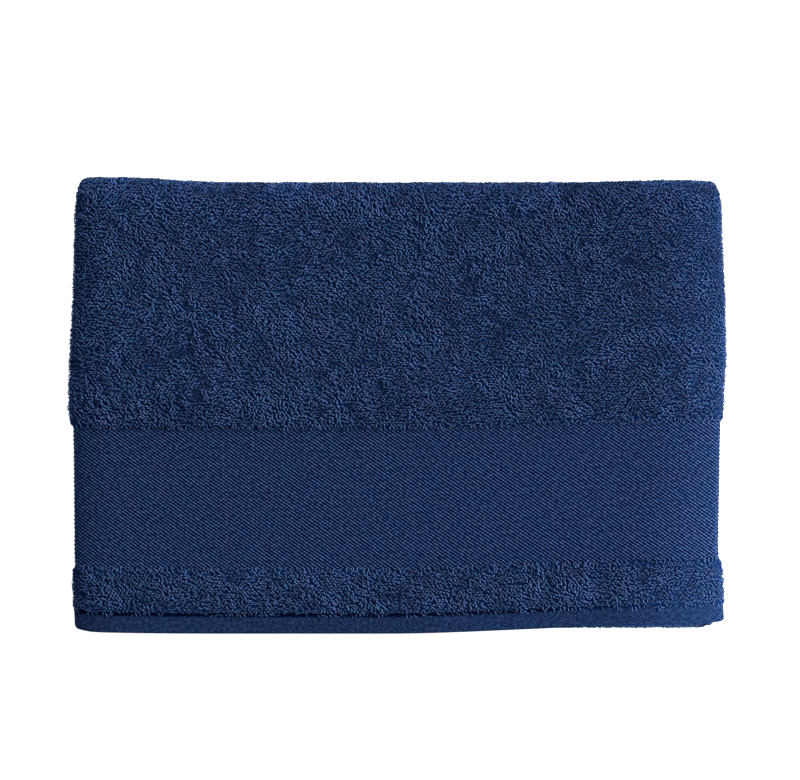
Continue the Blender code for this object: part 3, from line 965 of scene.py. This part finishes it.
back_feet = loop_feet((top_end, back_end), COARSE, 36, reach=PANEL_HALF_WIDTH)
pile("pile_back", back_feet, bends=2, size=1.9, foot_shade=0.6)
bottom_feet = loop_feet((back_end, turn_end), TURNED, 37, reach=PANEL_HALF_WIDTH)
pile("pile_bottom_fold", bottom_feet, bends=3, size=1.1, foot_shade=0.7)

# The sides show the folds of every layer but the front one and, a little further in, the fold
# that doubles the strip
sides = (PANEL_HALF_WIDTH + 1.2 * MM, NOSE_END - 1.0 * MM)
pile("pile_sides", loop_feet((top_end, TOWEL_LENGTH), ROUND, 38, *sides), bends=3, foot_shade=0.6)
near_side = (PANEL_HALF_WIDTH - 22 * MM, sides[0])
doubling = (LEG_START[3] + LEG_RUN[3] - 5 * MM, LEG_START[4] + 5 * MM)
pile("pile_inner_fold", loop_feet(doubling, TURNED, 39, *near_side), bends=3, size=1.1, foot_shade=0.7)


# ----------------------------------------------------------------------------------------------
# The table, light and camera. A plain pale floor, a broad low light from the right with a small
# one by the near right corner, and a long lens straight above, as the towel's face is seen.

PIXEL = 0.3852 * MM  # of the picture, at the towel's face
PICTURE_WIDTH = 800
PICTURE_HEIGHT = 780
TOWEL_MIDDLE = (398.1, 404.8)  # pixel over the towel's middle
LENS = 150.0
FACE_HEIGHT = 38 * MM  # of the towel's face over the floor
FLOOR_SIDE = 6.0
FLOOR_GREY = (0.7, 0.7, 0.7)
FLOOR_GLOW = 0.85  # lifts the floor to the picture's white
ROOM_LIGHT = 0.41


def pale_floor():
    """A wide level square under the towel."""
    corner = np.array([[-1, -1, 0], [1, -1, 0], [1, 1, 0], [-1, 1, 0]]) * FLOOR_SIDE / 2
    mesh = bpy.data.meshes.new("floor")
    mesh.from_pydata(corner.tolist(), [], [(0, 1, 2, 3)])
    material, shader = new_material("pale_floor")
    put(material, shader, Base_Color=rgba(FLOOR_GREY), Roughness=0.9, Specular_IOR_Level=0.1)
    put(material, shader, Emission_Color=(1, 1, 1, 1), Emission_Strength=FLOOR_GLOW)
    mesh.materials.append(material)
    floor = bpy.data.objects.new("floor", mesh)
    bpy.context.scene.collection.objects.link(floor)


def soft_light(name, power, size, azimuth, elevation, distance):
    """A square area light on a sphere round the towel, facing it."""
    light = bpy.data.lights.new(name, "AREA")
    light.energy, light.size = power, size
    lamp = bpy.data.objects.new(name, light)
    round_it, up = math.radians(azimuth), math.radians(elevation)
    lamp.location = (
        distance * math.cos(up) * math.cos(round_it),
        distance * math.cos(up) * math.sin(round_it),
        distance * math.sin(up),
    )
    lamp.rotation_euler = (math.pi / 2 - up, 0, round_it + math.pi / 2)
    bpy.context.scene.collection.objects.link(lamp)


pale_floor()
soft_light("key", power=785, size=2.7, azimuth=17, elevation=21, distance=6.0)
soft_light("bounce", power=0.47, size=0.16, azimuth=-35, elevation=17, distance=0.30)

world = bpy.data.worlds.new("studio")
world.use_nodes = True
background = world.node_tree.nodes["Background"]
background.inputs["Color"].default_value = (1, 1, 1, 1)
background.inputs["Strength"].default_value = ROOM_LIGHT
bpy.context.scene.world = world
bpy.context.scene.view_settings.view_transform = "Standard"

camera = bpy.data.cameras.new("camera")
camera.lens = LENS
camera.sensor_fit = "HORIZONTAL"
camera.clip_end = 20
distance = LENS * PICTURE_WIDTH * PIXEL / camera.sensor_width
eye = bpy.data.objects.new("camera", camera)
eye.location = (
    (PICTURE_WIDTH / 2 - TOWEL_MIDDLE[0]) * PIXEL,
    (TOWEL_MIDDLE[1] - PICTURE_HEIGHT / 2) * PIXEL,
    FACE_HEIGHT + distance,
)
bpy.context.scene.collection.objects.link(eye)
bpy.context.scene.camera = eye
